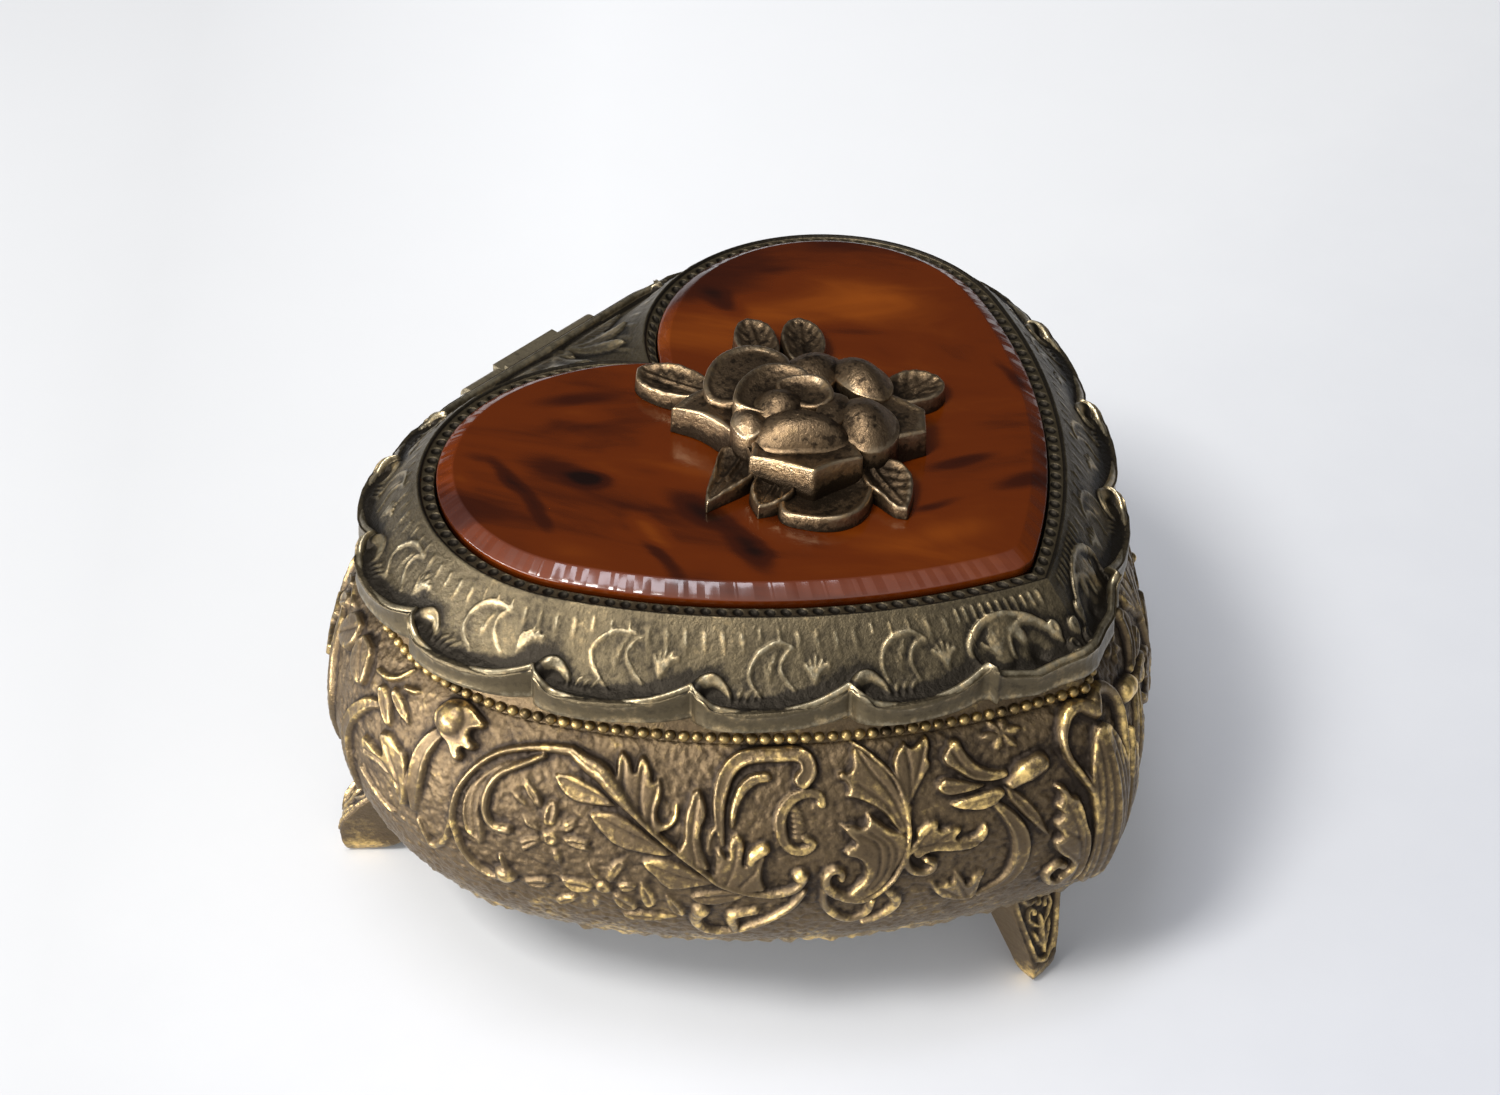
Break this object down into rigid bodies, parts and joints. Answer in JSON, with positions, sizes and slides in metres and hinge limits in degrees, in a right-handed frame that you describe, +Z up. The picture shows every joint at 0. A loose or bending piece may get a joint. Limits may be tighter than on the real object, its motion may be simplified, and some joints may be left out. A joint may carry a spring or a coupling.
{
  "type": "trinket box",
  "caption": "Heart-shaped metal trinket box on short feet, hinged scalloped lid with a glossy heart-shaped plastic panel and a cast rose, velvet-lined inside.",
  "frame": {"origin": "on the table, under the middle of the box's widest outline", "axes": "+X to the right across the two lobes, +Y from the heart's point to the hinge, +Z up"},
  "size_m": [0.0992, 0.0877, 0.0634],
  "materials": {
    "base_metal": "antique plated casting, dark recesses and worn gold edges",
    "lid_metal": "antique grey-olive plated casting, worn pale edges",
    "rose_metal": "dark bronze plated casting with golden highlights",
    "amber_plastic": "glossy, marbled amber and dark brown",
    "velvet": "short pile",
    "sheet_steel": "plain"
  },
  "bodies": {
    "base": {"base_shell": "base_metal", "bottom_plate": "sheet_steel", "foot_front": "base_metal", "foot_left": "base_metal", "foot_right": "base_metal", "foot_rivets": "sheet_steel", "floor_lining": "velvet", "wall_lining": "velvet", "base_knuckles": "base_metal", "hinge_pin": "sheet_steel"},
    "lid": {"lid_frame": "lid_metal", "lid_knuckle": "lid_metal", "inset_panel": "amber_plastic", "lid_plate": "sheet_steel", "lid_lining": "velvet", "rose_ornament": "rose_metal", "rose_stud": "sheet_steel", "rose_washer": "sheet_steel", "rose_nut": "sheet_steel"}
  },
  "joints": [
    {"name": "lid_hinge", "type": "hinge", "parent": "base", "child": "lid", "pos_m": [0, 0.04146, 0.04598], "axis": [-1, 0, 0], "range_deg": [0, 100]}
  ]
}
